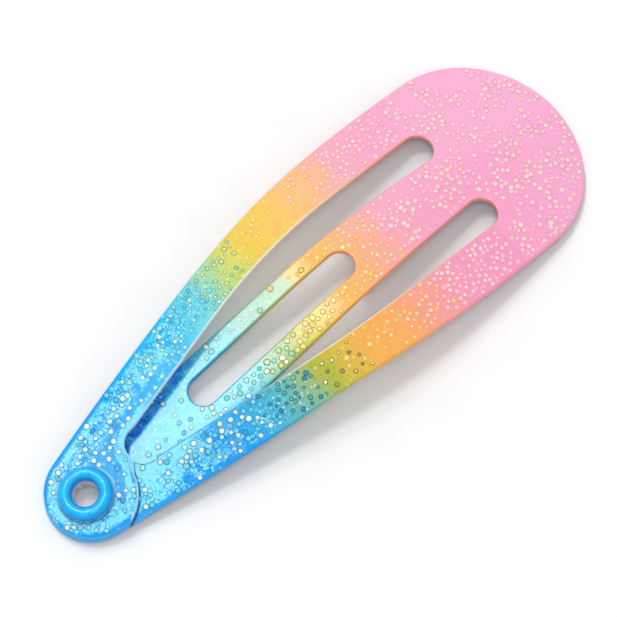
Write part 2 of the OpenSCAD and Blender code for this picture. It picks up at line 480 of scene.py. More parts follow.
def edge_profile():
    """Steps of the rounded edge from the top skin to the bottom: inset, depth, share of rim."""
    top = [(EDGE_R + EDGE_FLAT, 0.0, 0.0)]
    for a in np.linspace(0, 90, EDGE_RINGS + 1):
        top.append((EDGE_R * (1 - sin(a)), EDGE_R * (1 - cos(a)), sin(a)))
    return top + [(inset, PLATE_T - depth, rim) for inset, depth, rim in top[::-1]]


def paint_marks(flat, rims, plan, turns):
    """Shares that the enamel reads: the rim, the inner cut edges, the way across and in, the underside."""
    outline = resample(np.concatenate([outer_edge, outer_edge[::-1] * [1, -1]]), OUTLINE_STEP)
    inner_cut = (nearest(plan, [outline]) > OUTLINE_STEP).astype(float)
    edge_count = len(inner_cut) * turns
    free = len(flat) - edge_count
    way_in = nearest(flat[edge_count:, :2], [plan]) / ARM_W
    outer_y = np.interp(flat[:, 0], outer_edge[:, 0], outer_edge[:, 1])
    return {
        "rim": rims,
        "cut": rims * np.concatenate([np.tile(inner_cut, turns), np.zeros(free)]),
        "across": (outer_y - np.abs(flat[:, 1])) / ARM_W,
        "border": np.concatenate([np.zeros(edge_count), way_in]),
        # distance from the left arm's edge, which places the arm's painted shadow on the tongue
        "beside": nearest(flat[:, :2], [LEFT_EDGE]) / ARM_W,
        "under": flat[:, 2] / PLATE_T,
    }


def keep_mark(mesh, mark, values):
    layer = mesh.attributes.new(mark, "FLOAT", "POINT")
    layer.data.foreach_set("value", np.array(values, np.float32))


def keep_rest_place(mesh):
    """Store where each point is at rest, so that the paint stays put if the sheet is bent."""
    layer = mesh.attributes.new("rest_place", "FLOAT_VECTOR", "POINT")
    places = np.empty(3 * len(mesh.vertices), np.float32)
    mesh.vertices.foreach_get("co", places)
    layer.data.foreach_set("vector", places)


def placed(name, content):
    """A new object in the scene that shows a mesh, a lamp or a camera."""
    thing = bpy.data.objects.new(name, content)
    bpy.context.scene.collection.objects.link(thing)
    return thing


def own_caps(flat, rims, faces, smooth):
    """Give the flat caps at the split their own points, so that the skin's shading runs on over it."""
    caps = [k for k, soft in enumerate(smooth) if not soft]
    used = sorted({i for k in caps for i in faces[k]})
    twin = {old: len(flat) + new for new, old in enumerate(used)}
    for k in caps:
        faces[k] = [twin[i] for i in faces[k]]
    return np.concatenate([flat, flat[used]]), np.concatenate([rims, rims[used]])


def flat_points(plan, steps_in, free):
    """The sheet's points laid flat, as x, y and depth, with their share of rim: rings, then free points."""
    rows, rims = [], []
    for inset, depth, rim in edge_profile():
        rows.append(np.c_[plan + inset * steps_in, np.full(len(plan), depth)])
        rims.append(np.full(len(plan), rim))
    for depth in (0.0, PLATE_T):
        rows.append(np.c_[free, np.full(len(free), depth)])
        rims.append(np.zeros(len(free)))
    return np.concatenate(rows), np.concatenate(rims)


def skin_faces(top_loops, free, around, rings):
    """Triangles of the top skin, each followed by its twin on the bottom, turned over."""
    free_top = around * rings
    free_bottom = free_top + len(free)
    last_ring = around * (rings - 1)
    faces = []
    for tri in triangles(np.concatenate(top_loops + [free]), top_loops):
        up = [i if i < around else free_top + i - around for i in tri]
        down = [last_ring + i if i < around else free_bottom + i - around for i in tri]
        faces += [up, down[::-1]]
    return faces


def edge_faces(loops, around, rings):
    """Faces of the rounded edge, and whether each is shaded smooth: all but the caps at the split."""
    faces, smooth, start = [], [], 0
    for loop in loops:
        cut = at_split(loop)
        for i in range(len(loop)):
            j = (i + 1) % len(loop)
            for ring in range(rings - 1):
                a, b = ring * around + start, (ring + 1) * around + start
                faces.append([a + j, a + i, b + i, b + j])
                smooth.append(not (cut[i] and cut[j]))
        start += len(loop)
    return faces, smooth


def sheet_piece(name, loops, sheet):
    """A sheet from its plan: top and bottom skins, joined round each loop by the rounded edge."""
    plan = np.concatenate(loops)
    steps = [inward(loop) for loop in loops]
    top_loops = [loop + (EDGE_R + EDGE_FLAT) * step for loop, step in zip(loops, steps)]
    free = hex_grid(top_loops, GRID_STEP)
    around, rings = len(plan), len(edge_profile())
    flat, rims = flat_points(plan, np.concatenate(steps), free)
    faces = skin_faces(top_loops, free, around, rings)
    smooth = [True] * len(faces)
    side_faces, side_smooth = edge_faces(loops, around, rings)
    faces += side_faces
    smooth += side_smooth
    flat, rims = own_caps(flat, rims, faces, smooth)
    top_z = skin(sheet, flat[:, 0], flat[:, 1])
    bottom_z = skin(sheet, flat[:, 0], flat[:, 1], PLATE_T)
    z = top_z + (bottom_z - top_z) * flat[:, 2] / PLATE_T
    verts = np.c_[flat[:, 0] - CLIP_L / 2, flat[:, 1], z] * MM
    mesh = bpy.data.meshes.new(name)
    mesh.from_pydata(verts.tolist(), [], faces)
    mesh.polygons.foreach_set("use_smooth", smooth)
    for mark, values in paint_marks(flat, rims, plan, rings).items():
        keep_mark(mesh, mark, values)
    mesh.validate()
    mesh.update()
    keep_rest_place(mesh)
    return placed(name, mesh)


# Glitter: thin discs on the skin, each a pale face inside a darker ring; the ring is partly painted shade at
# the flake's edge, and each face's brightness is a painted glint


def clumps(x, y, seed, size):
    """Smooth random field round 0.5 that gathers the flakes in clumps."""
    return 0.5 + CLUMP_SWING * noise.noise(Vector((x / size, y / size, seed * CLUMP_SHIFT)))


def strewn(seed, size, low, high):
    """A keep rule for clumps: no flakes below low of the clump field and all above high."""

    def keep(x, y):
        if math.hypot(x - EYELET_X, y) < RIM_D / 2 + EYELET_CLEAR:
            return 0.0
        return min(1.0, max(0.0, (clumps(x, y, seed, size) - low) / (high - low)))

    return keep


def on_right_strip(_, y):
    """A keep rule for the tongue: nearly all flakes to the right of its slot, at any station."""
    return 1.0 if y < MID_SLOT_Y - MID_SLOT_W / 2 else STRAY_SHARE


def flake_spots(rng, loops, taken, span, wanted, apart, keep):
    """Random places in the material within a span of stations, apart from those taken, thinned by keep."""
    every = np.concatenate(loops)
    low, high = every.min(axis=0), every.max(axis=0)
    x_low, x_high = max(low[0], span[0]), min(high[0], span[1])
    tries = [
        (rng.uniform(x_low, x_high), rng.uniform(low[1], high[1]), rng.random())
        for _ in range(TRIES_EACH * wanted)
    ]
    places = np.array(tries)[:, :2]
    fits = inside(places, loops) & (nearest(places, loops) > EDGE_CLEAR)
    kept = []
    for (x, y, chance), good in zip(tries, fits):
        if not good or chance > keep(x, y) or len(kept) >= wanted:
            continue
        if all(math.hypot(x - kx, y - ky) > apart for kx, ky in taken):
            kept.append((x, y))
            taken.append((x, y))
    return kept


def add_flake(rng, data, sheet, spot, radius, sides, face, ring):
    """One flake: an uneven face with a painted glint of random strength, and a ring round it, partly painted
    shade.
    """
    x, y = spot
    up = skin_normal(sheet, x, y)
    way, lean = rng.uniform(0, 360), tan(rng.uniform(0, FLAKE_LEAN))
    across = Vector((1, 0, 0)).cross(up).normalized()
    ahead = up.cross(across)
    facing = (up + lean * (across * cos(way) + ahead * sin(way))).normalized()
    across = Vector((1, 0, 0)).cross(facing).normalized()
    ahead = facing.cross(across)
    spin = rng.uniform(0, 360)
    centre = Vector((x - CLIP_L / 2, y, float(skin(sheet, x, y)))) + up * FLAKE_LIFT
    base = len(data["verts"])
    bright = rng.uniform(*FLAKE_GLINT_SHARE)
    face = [bright * f + (1 - bright) * r for f, r in zip(face, ring)]
    corners = [radius * rng.uniform(*FLAKE_UNEVEN) for _ in range(sides)]
    for share, drop, tint in ((1.0, FLAKE_BEVEL, ring), (FLAKE_RING, 0.0, ring), (FLAKE_FACE, 0.0, face)):
        for i in range(sides):
            a = spin + 360 * i / sides
            reach = (across * cos(a) + ahead * sin(a)) * corners[i] * share
            point = centre - up * FLAKE_LIFT * drop + reach
            data["verts"].append([c * MM for c in point])
            data["tints"].append(tint)
    for i in range(sides):
        j = (i + 1) % sides
        for start in (base, base + sides):
            outer_i, outer_j = start + i, start + j
            data["faces"].append([outer_i, outer_j, outer_j + sides, outer_i + sides])
    data["faces"].append([base + 2 * sides + i for i in range(sides)])


def flake_piece(name, seed, loops, sheet, rows, material):
    """All the flakes of one sheet, strewn row by row in a fixed order."""
    rng = random.Random(seed)
    data = {"verts": [], "faces": [], "tints": []}
    taken = []
    for span, wanted, apart, radii, sides, faces, rings, keep in rows:
        for spot in flake_spots(rng, loops, taken, span, wanted, apart, keep):
            tints = rng.choice(faces)
            radius = rng.uniform(*radii)
            add_flake(rng, data, sheet, spot, radius, sides, rng.choice(tints), rng.choice(rings))
    mesh = bpy.data.meshes.new(name)
    mesh.from_pydata(data["verts"], [], data["faces"])
    mesh.materials.append(material)
    layer = mesh.color_attributes.new("tint", "FLOAT_COLOR", "POINT")
    layer.data.foreach_set("color", np.array(data["tints"], np.float32).ravel())
    mesh.update()
    keep_rest_place(mesh)
    return placed(name, mesh)


# Eyelet: a turned shell, from the bore up over the curled rim, down the barrel and round the flange


def eyelet_profile():
    """Radius and height along the eyelet's half section, and how many of its rings are bare metal."""
    bore_r = BORE_D / 2
    barrel_r = bore_r + BARREL_T
    curl_r = (RIM_D - BORE_D) / 4
    curl_z = LAY_GAP + RIM_H - curl_r
    foot_z = -2 * PLATE_T - 2 * LAY_GAP - FLANGE_T
    flange_top = foot_z + FLANGE_T
    contact = math.degrees(math.acos((curl_z - LAY_GAP) / curl_r))
    bore = [(bore_r + FOOT_BEVEL, foot_z), (bore_r, foot_z + FOOT_BEVEL)]
    bore += [(bore_r, z) for z in np.linspace(foot_z + FOOT_STEP, curl_z, BORE_RINGS)]
    curl = [
        (bore_r + curl_r * (1 - cos(a)), curl_z + curl_r * sin(a))
        for a in np.linspace(CURL_START, 270 - contact, CURL_RINGS)
    ]
    barrel = [(barrel_r, z) for z in (LAY_GAP, LAY_GAP - BARREL_STEP, flange_top + BARREL_CLEAR)]
    flange = [(FLANGE_D / 2 - inset, foot_z + share * FLANGE_T) for inset, share in FLANGE_EDGE]
    return bore + curl + barrel + flange, len(bore) - PAINTED_RINGS


def eyelet_piece(name, enamel_material, steel_material):
    profile, bare = eyelet_profile()
    around = EYELET_SIDES
    axis = Vector((-sin(arm_a), 0, cos(arm_a)))
    ahead = Vector((cos(arm_a), 0, sin(arm_a)))
    centre = Vector((EYELET_X - CLIP_L / 2, 0, lobe_z))
    verts, faces, slots, crest = [], [], [], []
    for radius, height in profile:
        crest += [max(0.0, height / (LAY_GAP + RIM_H))] * around
        for i in range(around):
            a = 360 * i / around
            point = centre + axis * height + (ahead * cos(a) + Vector((0, 1, 0)) * sin(a)) * radius
            verts.append([c * MM for c in point])
    rings = len(profile)
    for ring in range(rings):
        this, following = ring * around, (ring + 1) % rings * around
        for i in range(around):
            j = (i + 1) % around
            faces.append([this + j, this + i, following + i, following + j])
            slots.append(1 if ring < bare or ring == rings - 1 else 0)
    mesh = bpy.data.meshes.new(name)
    mesh.from_pydata(verts, [], faces)
    mesh.materials.append(enamel_material)
    mesh.materials.append(steel_material)
    mesh.polygons.foreach_set("material_index", slots)
    keep_mark(mesh, "crest", crest)
    mesh.polygons.foreach_set("use_smooth", [True] * len(faces))
    mesh.update()
    return placed(name, mesh)


# Materials

SPECULAR = 0.1
COAT_IOR = 1.35
SHEEN = 0.017
STUDIO_LIGHT = 1.03
COLOUR_WOBBLE = 1.4
LINE_W = 0.22
CURL_CELL = 0.31
GLINT_CELL = 0.42
CUT_FADE = 0.4
CLOUD_NOISE = {"cell": 1.1, "detail": 5.0, "rough": 0.7, "distort": 1.0}
RAGGED_NOISE = {"cell": 0.7, "detail": 4.0, "rough": 0.6}
PALE_CLOUD = "84ECFF"
PALE_CURL = "A0F4FF"
DARK_CURL = "0C84E0"
SHADE_LINE = "083C80"
UNDERSIDE = "7C7A7C"
# Painted shadow of the left arm on the tongue: darkest blue next to the arm's edge
ARM_SHADOW_BLUES = [(0.03, "0448DC"), (0.15, "0C84FC")]


class Shader:
    """Short calls for building a material's node tree."""

    def __init__(self, name, bends=False):
        self.material = bpy.data.materials.new(name)
        self.material.use_nodes = True
        self.tree = self.material.node_tree
        self.tree.nodes.clear()
        self.output = self.tree.nodes.new("ShaderNodeOutputMaterial")
        self.surface = self.tree.nodes.new("ShaderNodeBsdfPrincipled")
        self.link(self.surface.outputs["BSDF"], self.output.inputs["Surface"])
        if bends:
            self.place = self.node("ShaderNodeAttribute", attribute_name="rest_place").outputs["Vector"]
        else:
            self.place = self.node("ShaderNodeTexCoord").outputs["Object"]

    def link(self, source, target):
        self.tree.links.new(source, target)

    def feed(self, socket, value):
        """Link a socket to another node's output, or give it a value or a colour code."""
        if isinstance(value, bpy.types.NodeSocket):
            self.link(value, socket)
        else:
            socket.default_value = linear(value) if isinstance(value, str) else value

    def node(self, kind, inputs=(), **settings):
        made = self.tree.nodes.new(kind)
        for key, value in settings.items():
            setattr(made, key, value)
        for key, value in dict(inputs).items():
            self.feed(made.inputs[key], value)
        return made

    def math(self, operation, *values):
        return self.node("ShaderNodeMath", enumerate(values), operation=operation).outputs[0]

    def vector(self, operation, *values):
        return self.node("ShaderNodeVectorMath", enumerate(values), operation=operation).outputs

    def times(self, a, b):
        return self.math("MULTIPLY", a, b)

    def ramp(self, factor, places, ease="LINEAR"):
        """A colour or a grey for each value of the factor, from stops between 0 and 1."""
        made = self.node("ShaderNodeValToRGB", {"Fac": factor})
        made.color_ramp.interpolation = ease
        elements = made.color_ramp.elements
        while len(elements) < len(places):
            elements.new(0.5)
        for element, (at, colour) in zip(elements, places):
            element.position = at
            if isinstance(colour, str):
                colour = linear(colour)
            element.color = colour if isinstance(colour, list) else [colour] * 3 + [1]
        return made.outputs["Color"]

    def mix(self, factor, a, b, blend="MIX"):
        inputs = {0: factor, 6: a, 7: b}
        return self.node("ShaderNodeMix", inputs, data_type="RGBA", blend_type=blend).outputs[2]

    def noise(self, cell, detail=2.0, rough=0.5, distort=0.0):
        """Noise whose features are about cell millimetres wide."""
        inputs = {"Vector": self.place, "Scale": 1 / (cell * MM), "Detail": detail}
        inputs.update({"Roughness": rough, "Distortion": distort})
        return self.node("ShaderNodeTexNoise", inputs).outputs["Fac"]

    def cells(self, cell, output="Distance"):
        inputs = {"Vector": self.place, "Scale": 1 / (cell * MM)}
        return self.node("ShaderNodeTexVoronoi", inputs).outputs[output]

    def cell_shares(self, cell):
        """Three random shares for each cell: Red, Green and Blue."""
        return self.node("ShaderNodeSeparateColor", {"Color": self.cells(cell, "Color")}).outputs

    def part(self, axis):
        return self.node("ShaderNodeSeparateXYZ", {"Vector": self.place}).outputs[axis]

    def along(self, wobble):
        """0 at the tip and 1 at the head's end, with a soft wobble in millimetres."""
        share = self.math("MULTIPLY_ADD", self.part("X"), 1 / (CLIP_L * MM), 0.5)
        shift = self.math("SUBTRACT", self.noise(2.5, 3.0), 0.5)
        return self.math("MULTIPLY_ADD", shift, 2 * wobble / CLIP_L, share)

    def mark(self, name, output="Fac"):
        """One of the shares or colours that the mesh carries."""
        return self.node("ShaderNodeAttribute", attribute_name=name).outputs[output]

    def line_round_eyelet(self, radius, width):
        """1 on a thin ring round the eyelet's axis, 0 elsewhere."""
        centre = ((EYELET_X - CLIP_L / 2) * MM, 0, 0)
        offset = self.vector("SUBTRACT", self.place, centre)["Vector"]
        flat = self.vector("MULTIPLY", offset, (1, 1, 0))["Vector"]
        reach = self.vector("LENGTH", flat)["Value"]
        share = self.math("MULTIPLY_ADD", reach, 1 / (width * MM), 0.5 - radius / width)
        return self.ramp(share, [(0.0, 0.0), (0.3, 1.0), (0.6, 1.0), (1.0, 0.0)])

    def gloss(self, roughness, coat, coat_roughness, metallic=0.0):
        self.surface.inputs["Roughness"].default_value = roughness
        self.surface.inputs["Metallic"].default_value = metallic
        self.surface.inputs["Specular IOR Level"].default_value = SPECULAR
        self.surface.inputs["Coat Weight"].default_value = coat
        self.surface.inputs["Coat Roughness"].default_value = coat_roughness
        self.surface.inputs["Coat IOR"].default_value = COAT_IOR

    def paint(self, colour):
        self.link(colour, self.surface.inputs["Base Color"])

    def bump(self, height, distance, strength):
        inputs = {"Height": height, "Distance": distance * MM, "Strength": strength}
        made = self.node("ShaderNodeBump", inputs)
        self.link(made.outputs["Normal"], self.surface.inputs["Normal"])


def stops(*places):
    """Ramp stops from places in millimetres from the tip."""
    return [(x / CLIP_L, colour) for x, colour in places]


def pigment(code):
    """The enamel's own colour for one that is seen under the studio light and its sheen."""
    return [min(1.0, max(0.002, (c - SHEEN) / STUDIO_LIGHT)) for c in linear(code)[:3]] + [1.0]


def seen(*places):
    return [(x / CLIP_L, pigment(code)) for x, code in places]


LEFT_COLOURS = seen(
    (0, "16A4FA"), (8, "18A8FA"), (12, "1EB6F8"), (15.5, "38C4F0"), (18, "6CDAEA"), (20, "98DCBC"),
    (22, "CEDC70"), (24, "F2D45A"), (27, "FCD06C"), (30, "FEC98A"), (32, "FDBF9E"), (34, "FDB6BE"),
    (36.5, "FDAFD0"), (50, "FCACD4"),
)
RIGHT_COLOURS = seen(
    (0, "18A4F8"), (12, "1C9EF4"), (14.5, "22A6F4"), (16, "3EB6EC"), (18, "5CC0D0"), (20, "8AC29C"),
    (22, "B8BE48"), (24, "E6C052"), (26, "FAB55C"), (28, "FDB26C"), (30, "FCA986"), (32, "FCA5A4"),
    (34.5, "FAA3BE"), (37, "FAA2C8"), (50, "FAA8D0"),
)
TONGUE_LEFT_COLOURS = seen(
    (0, "1ED0F8"), (14, "24CCF4"), (18, "6CD2DA"), (20, "8ECEC4"), (22, "9CCEB4"), (24.4, "AECCA0"),
    (25.6, "F4C860"), (28, "FCC472"), (30, "FCBC8C"), (32, "FCB6B2"), (34.5, "FDB2C8"), (37, "FDB0D2"),
    (50, "FEB8DC"),
)
# From about 10 to 20 mm the right side is a paler cyan than the left: a painted reflection of the softbox
TONGUE_RIGHT_COLOURS = seen(
    (0, "1ECCF6"), (10, "40D8FA"), (14, "6CE2FA"), (17.5, "88E6EC"), (19.5, "9CDCBC"), (21.5, "B0C66C"),
    (23.5, "E6D850"), (26, "FBC25C"), (28, "FABC70"), (30, "FBB686"), (32, "FCB0AC"), (34.5, "FCAAC2"),
    (37, "FCA8CC"), (40, "FCA8CC"), (44, "FCACD2"), (46, "FCB0D6"), (50, "FCAED4"),
)
# Colours of the rounded edges, matched to how they look under the lamps: painted shade where darker than the
# face, painted highlight where paler, as on the arms' inner cut edges
RIM_SHADING_COLOURS = stops(
    (0, "48B8F8"), (8, "30A8F4"), (15, "1E9CF0"), (19, "44B4BC"), (22, "B0BC50"), (25, "E8B440"),
    (29, "F8AA60"), (34, "F898AC"), (50, "F894BC"),
)
CUT_SHADING_COLOURS = stops(
    (0, "68D0F6"), (10, "50BCF0"), (13, "1278D4"), (16, "1274C8"), (19, "349C98"), (22, "A8AE44"),
    (25, "E0A43C"), (29, "F09850"), (34, "F29070"), (50, "F29680"),
)
LEFT_CUT_SHADING_COLOURS = stops(
    (0, "A0DCFF"), (10, "B4E4FF"), (14, "D4ECFF"), (18, "E4F4F4"), (22, "F8FAE8"), (27, "FFF4D4"),
    (31, "FCE0BC"), (36, "F8AC8C"), (50, "F29680"),
)
RIGHT_CUT_SHADING_COLOURS = stops(
    (0, "2890E8"), (17, "50B4CC"), (20, "D8E4BC"), (24, "FCF0CC"), (29, "FCDCB8"), (34, "F8A890"),
    (50, "F29680"),
)
GLINT_COLOURS = stops(
    (0, "80E8FA"), (15, "84E8F8"), (19, "B4F0DC"), (22, "F0F0A0"), (26, "FFE68C"), (30, "FFD8A8"),
    (35, "FFCCDA"), (50, "FFD0E0"),
)
RING_COLOURS = stops(
    (0, "1478D8"), (15, "167CC8"), (19, "2E909C"), (22, "889C3C"), (26, "E09C44"), (30, "F0986C"),
    (35, "F48CB4"), (50, "F48EBA"),
)


def left_clouds(made, share):
    """Pale clusters along the arm's outer side, and a pale band round the lobe and beside the crotch."""
    across = made.mark("across")
    edge = made.math("MULTIPLY_ADD", made.noise(**RAGGED_NOISE), 0.24, made.mark("border"))
    side = made.ramp(across, [(0.08, 0.0), (0.14, 1.0), (0.6, 1.0), (0.72, 0.1)])
    side = made.times(side, made.ramp(share, [(0.31, 0.8), (0.4, 0.0)]))
    arm = made.times(made.ramp(made.noise(**CLOUD_NOISE), [(0.46, 0.0), (0.53, 1.0)]), side)
    band = made.ramp(edge, [(0.18, 0.0), (0.21, 0.95), (0.37, 0.95), (0.4, 0.1)])
    band = made.times(band, made.ramp(share, [(0.13, 1.0), (0.16, 0.0)]))
    strip = made.ramp(edge, [(0.24, 0.9), (0.28, 0.0)])
    strip = made.times(strip, made.ramp(share, [(0.13, 0.0), (0.15, 1.0), (0.2, 1.0), (0.23, 0.0)]))
    strip = made.times(strip, made.ramp(across, [(0.6, 0.0), (0.7, 1.0)]))
    return made.math("MAXIMUM", made.math("MAXIMUM", band, strip), arm)


def right_clouds(made, share):
    """Pale from the seam on, furthest along the inner side, then clusters; the outer edge stays blue."""
    across = made.mark("across")
    ragged = made.noise(**RAGGED_NOISE)
    field = made.ramp(made.noise(**CLOUD_NOISE), [(0.44, 0.0), (0.52, 1.0)])
    field = made.times(field, made.ramp(share, [(0.2, 0.9), (0.25, 0.5), (0.29, 0.12), (0.35, 0.0)]))
    slant = made.math("MULTIPLY_ADD", across, -0.08, share)
    slant = made.math("MULTIPLY_ADD", ragged, 0.08, slant)
    field = made.math("MAXIMUM", field, made.ramp(slant, [(0.19, 0.9), (0.21, 0.0)]))
    edge = made.math("MULTIPLY_ADD", ragged, 0.24, across)
    return made.times(field, made.ramp(edge, [(0.24, 0.1), (0.28, 1.0)]))


def head_clouds(made, share):
    field = made.ramp(made.noise(**CLOUD_NOISE), [(0.44, 0.0), (0.56, 1.0)])
    return made.times(field, made.ramp(share, [(0.3, 0.3), (0.44, 0.0)]))


def tongue_colour(made, share, left_colour, right_colours):
    """The tongue's two sides, and a dark blue band of painted shadow beside the left arm, darkest next to its
    edge.
    """
    sideways = made.math("MULTIPLY_ADD", made.part("Y"), 1 / (CLIP_W * MM), 0.5)
    leftness = made.ramp(sideways, [(0.42, 0.0), (0.62, 1.0)], "EASE")
    colour = made.mix(leftness, made.ramp(share, right_colours), left_colour)
    ragged = made.math("MULTIPLY_ADD", made.noise(0.5, 3.0), 0.08, made.mark("beside"))
    arm_shadow = made.ramp(ragged, [(0.13, 1.0), (0.17, 0.0)])
    arm_shadow = made.times(arm_shadow, made.ramp(sideways, [(0.5, 0.0), (0.53, 1.0)]))
    arm_shadow = made.times(arm_shadow, made.ramp(share, [(0.29, 1.0), (0.34, 0.0)]))
    return made.mix(arm_shadow, colour, made.ramp(ragged, ARM_SHADOW_BLUES))


def add_curls(made, share, colour):
    """Fine pale and dark curls in the blue of the arms and the tongue."""
    curl = made.cells(CURL_CELL)
    picked = made.cell_shares(CURL_CELL)
    zone = made.ramp(made.mark("across"), [(0.08, 0.0), (0.16, 1.0), (0.62, 1.0), (0.75, 0.15)])
    zone = made.times(zone, made.ramp(share, [(0.3, 1.0), (0.42, 0.0)]))
    pale = made.ramp(curl, [(0.16, 0.0), (0.26, 0.9), (0.36, 0.9), (0.46, 0.0)])
    pale = made.times(pale, made.ramp(picked["Blue"], [(0.4, 0.0), (0.45, 1.0)]))
    colour = made.mix(made.times(pale, zone), colour, PALE_CURL)
    dark = made.ramp(curl, [(0.44, 0.0), (0.52, 0.75), (0.62, 0.75), (0.7, 0.0)])
    dark = made.times(dark, made.ramp(picked["Red"], [(0.5, 0.0), (0.55, 1.0)]))
    return made.mix(made.times(dark, zone), colour, DARK_CURL)


def add_fine_glitter(made, share, colour):
    """Small rings and glints in the enamel, between the flakes."""
    place = made.cells(GLINT_CELL)
    chosen = made.cell_shares(GLINT_CELL)
    ring = made.ramp(place, [(0.26, 0.0), (0.36, 1.0), (0.46, 0.0)])
    ring = made.times(ring, made.ramp(chosen["Green"], [(0.35, 0.0), (0.5, 1.0)]))
    ring = made.times(ring, made.ramp(share, [(0.3, 0.3), (0.38, 0.7), (0.48, 0.45), (0.6, 0.1)]))
    colour = made.mix(ring, colour, made.ramp(share, RING_COLOURS))
    glint = made.ramp(place, [(0.24, 1.0), (0.34, 0.0)])
    glint = made.times(glint, made.ramp(chosen["Red"], [(0.45, 0.0), (0.6, 1.0)]))
    glint = made.times(glint, made.ramp(share, [(0.38, 0.7), (0.5, 0.4), (0.64, 0.25), (0.74, 0.35)]))
    return made.mix(glint, colour, made.ramp(share, GLINT_COLOURS))


def add_edges(made, share, colour, cut_colours, cut_from):
    """Colours of their own on the outer rim and the inner cut edges: painted shade where darker than the
    face, painted highlight where paler.
    """
    rim = made.ramp(made.mark("rim"), [(0.3, 0.0), (0.95, 1.0)])
    colour = made.mix(rim, colour, made.ramp(share, RIM_SHADING_COLOURS))
    cut = made.ramp(made.mark("cut"), [(cut_from, 0.0), (min(1.0, cut_from + CUT_FADE), 1.0)])
    return made.mix(cut, colour, made.ramp(share, cut_colours))


def enamel(name, colours, cut_colours, cut_from, clouds, coat, shadow_line=None, right_colours=None):
    """Glossy glitter enamel: graded colour, pale clouds near the tip, curls, glints and edges.

    A radius and a strength give a dark line of painted shadow round the eyelet's axis: the eyelet's on the
    left arm, the lobe's on the right.
    """
    made = Shader(name, bends=True)
    share = made.along(COLOUR_WOBBLE)
    colour = made.ramp(share, colours)
    if right_colours:
        colour = tongue_colour(made, share, colour, right_colours)
    colour = made.mix(clouds(made, share), colour, PALE_CLOUD)
    colour = add_curls(made, share, colour)
    colour = add_fine_glitter(made, share, colour)
    colour = add_edges(made, share, colour, cut_colours, cut_from)
    # Dark line of painted shadow round the eyelet's axis
    if shadow_line:
        radius, strength = shadow_line
        line = made.times(made.line_round_eyelet(radius, LINE_W), strength)
        colour = made.mix(line, colour, SHADE_LINE)
    under = made.ramp(made.mark("under"), [(0.55, 0.0), (0.8, 0.65)])
    made.paint(made.mix(under, colour, UNDERSIDE))
    made.gloss(roughness=0.45, coat=coat, coat_roughness=0.10)
    peel = made.math("MULTIPLY_ADD", made.cells(GLINT_CELL), 0.12, made.noise(1.2, 2.0))
    made.bump(peel, distance=0.02, strength=0.35)
    return made.material


def flake_look(name):
    made = Shader(name, bends=True)
    grain = made.ramp(made.cells(0.07, "Color"), [(0.1, 0.9), (0.9, 1.0)])
    made.paint(made.mix(1.0, made.mark("tint", "Color"), grain, "MULTIPLY"))
    made.gloss(roughness=0.4, coat=0.5, coat_roughness=0.10)
    return made.material


def eyelet_enamel(name):
    """Blue enamel, darker towards the foot of the rim and lighter on its crest: painted shade towards the
    foot, and a painted highlight, broken by noise, along the crest.
    """
    made = Shader(name)
    # Crest share with noise: painted shade low on the rim, painted highlight on the crest
    crest = made.times(made.mark("crest"), 0.8)
    crest = made.math("MULTIPLY_ADD", made.noise(0.8, 3.0), 0.24, crest)
    made.paint(made.ramp(crest, [(0.4, "0078D0"), (0.7, "0094EA"), (0.86, "00B0F6"), (0.96, "14CCFC")]))
    made.gloss(roughness=0.4, coat=1.0, coat_roughness=0.09)
    made.bump(made.noise(0.6, 2.0), distance=0.07, strength=0.9)
    return made.material


def bare_steel(name):
    made = Shader(name)
    made.paint(made.ramp(made.noise(0.3, 4.0, 0.6), [(0.35, "B4B8D4"), (0.65, "FCFCFF")]))
    made.gloss(roughness=0.35, coat=0.3, coat_roughness=0.2, metallic=0.1)
    made.bump(made.noise(0.15, 3.0), distance=0.03, strength=0.6)
    return made.material


def paper_look(name):
    made = Shader(name)
    made.paint(made.ramp(made.noise(4.0, 3.0), [(0.3, "FBFBFB"), (0.7, "FEFEFE")]))
    made.surface.inputs["Roughness"].default_value = 0.9
    made.surface.inputs["Specular IOR Level"].default_value = SPECULAR
    return made.material


# Sheets and eyelet; the head and the eyelet on their bodies

left_loops = [LEFT_EDGE, lobe_hole_loop()]
right_loops = [(loop * [1, -1])[::-1] for loop in left_loops]
head_loops = [head_loop(), mid_slot_loop()]

# Last values: the painted shadow line, round the eyelet's rim on the left arm and by the lobe's edge on the
# right
left_enamel = enamel(
    "left_enamel", LEFT_COLOURS, LEFT_CUT_SHADING_COLOURS, 0.05, left_clouds, 0.15, (RIM_D / 2 + 0.05, 0.5)
)
right_enamel = enamel(
    "right_enamel", RIGHT_COLOURS, RIGHT_CUT_SHADING_COLOURS, 0.1, right_clouds, 0.3, (LOBE_R + 0.1, 0.85)
)
head_enamel = enamel(
    "head_enamel", TONGUE_LEFT_COLOURS, CUT_SHADING_COLOURS, 0.4, head_clouds, 1.0, right_colours=TONGUE_RIGHT_COLOURS
)
glitter = flake_look("glitter")

ARMS = (  # side, edges, sheet, look, seed of its glitter
    ("left", left_loops, LEFT_SHEET, left_enamel, 11),
    ("right", right_loops, RIGHT_SHEET, right_enamel, 27),
)
HEAD_SEED = 5

head = sheet_piece("head_and_tongue_sheet", head_loops, TONGUE_SHEET)
head.data.materials.append(head_enamel)
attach(head, "blade")
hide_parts("head_and_tongue")

for side, loops, sheet, look, _ in ARMS:
    arm = sheet_piece(f"{side}_arm_sheet", loops, sheet)
    arm.data.materials.append(look)
    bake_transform(arm)
    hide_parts(f"{side}_arm")

eyelet = eyelet_piece("rolled_eyelet", eyelet_enamel("eyelet_blue"), bare_steel("bore_steel"))
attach(eyelet, "arms")
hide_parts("eyelet")

# Glitter on the sheets


def palette(*codes):
    return [linear(code) for code in codes]


